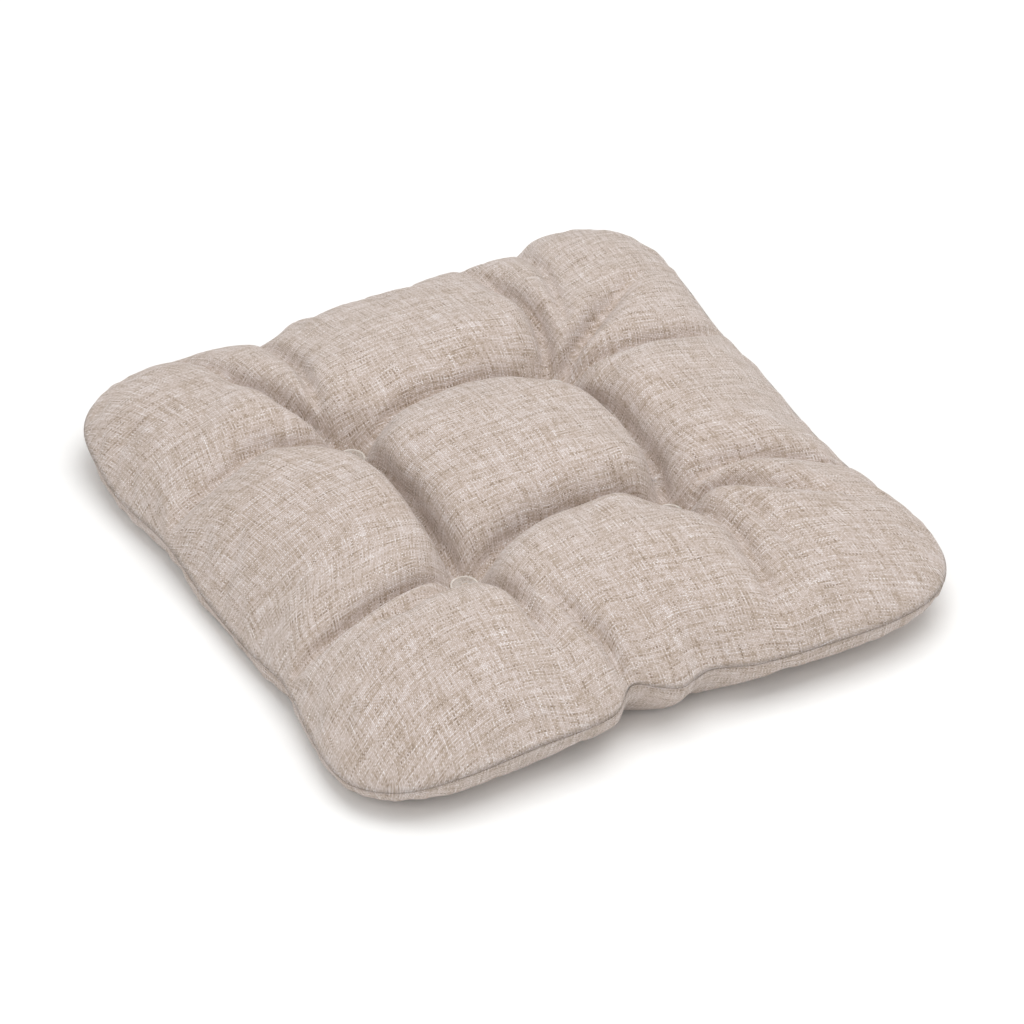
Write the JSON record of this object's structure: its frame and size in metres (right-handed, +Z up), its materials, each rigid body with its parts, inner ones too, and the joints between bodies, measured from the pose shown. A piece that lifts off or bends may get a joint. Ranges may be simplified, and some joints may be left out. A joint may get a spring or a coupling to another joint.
{
  "type": "chair seat pad",
  "caption": "Square tufted chair seat pad: linen-look two-panel cover over loose fibre filling, sewn round the edge and pinched by buttoned tufts.",
  "frame": {"origin": "middle of the underside, on the seat that the pad lies on", "axes": "+Z up, out of the seat; +Y towards the chair's backrest; +X to the sitter's right"},
  "size_m": [0.4, 0.415, 0.0756],
  "materials": {
    "linen_look_fabric": "plain weave melange, matte",
    "polyester_fibre": "loose white fibre, matte",
    "clear_plastic": "clear moulded, glossy",
    "sewing_thread": "twisted thread, matte"
  },
  "bodies": {
    "root": {"top_cover_panel": "linen_look_fabric", "bottom_cover_panel": "linen_look_fabric", "fibre_filling": "polyester_fibre", "top_button_front_left": "clear_plastic", "top_button_front_right": "clear_plastic", "top_button_back_left": "clear_plastic", "top_button_back_right": "clear_plastic", "bottom_button_front_left": "clear_plastic", "bottom_button_front_right": "clear_plastic", "bottom_button_back_left": "clear_plastic", "bottom_button_back_right": "clear_plastic", "tuft_twine_front_left": "sewing_thread", "tuft_twine_front_right": "sewing_thread", "tuft_twine_back_left": "sewing_thread", "tuft_twine_back_right": "sewing_thread", "edge_seam_thread": "sewing_thread", "closing_seam_thread": "sewing_thread"}
  },
  "joints": []
}
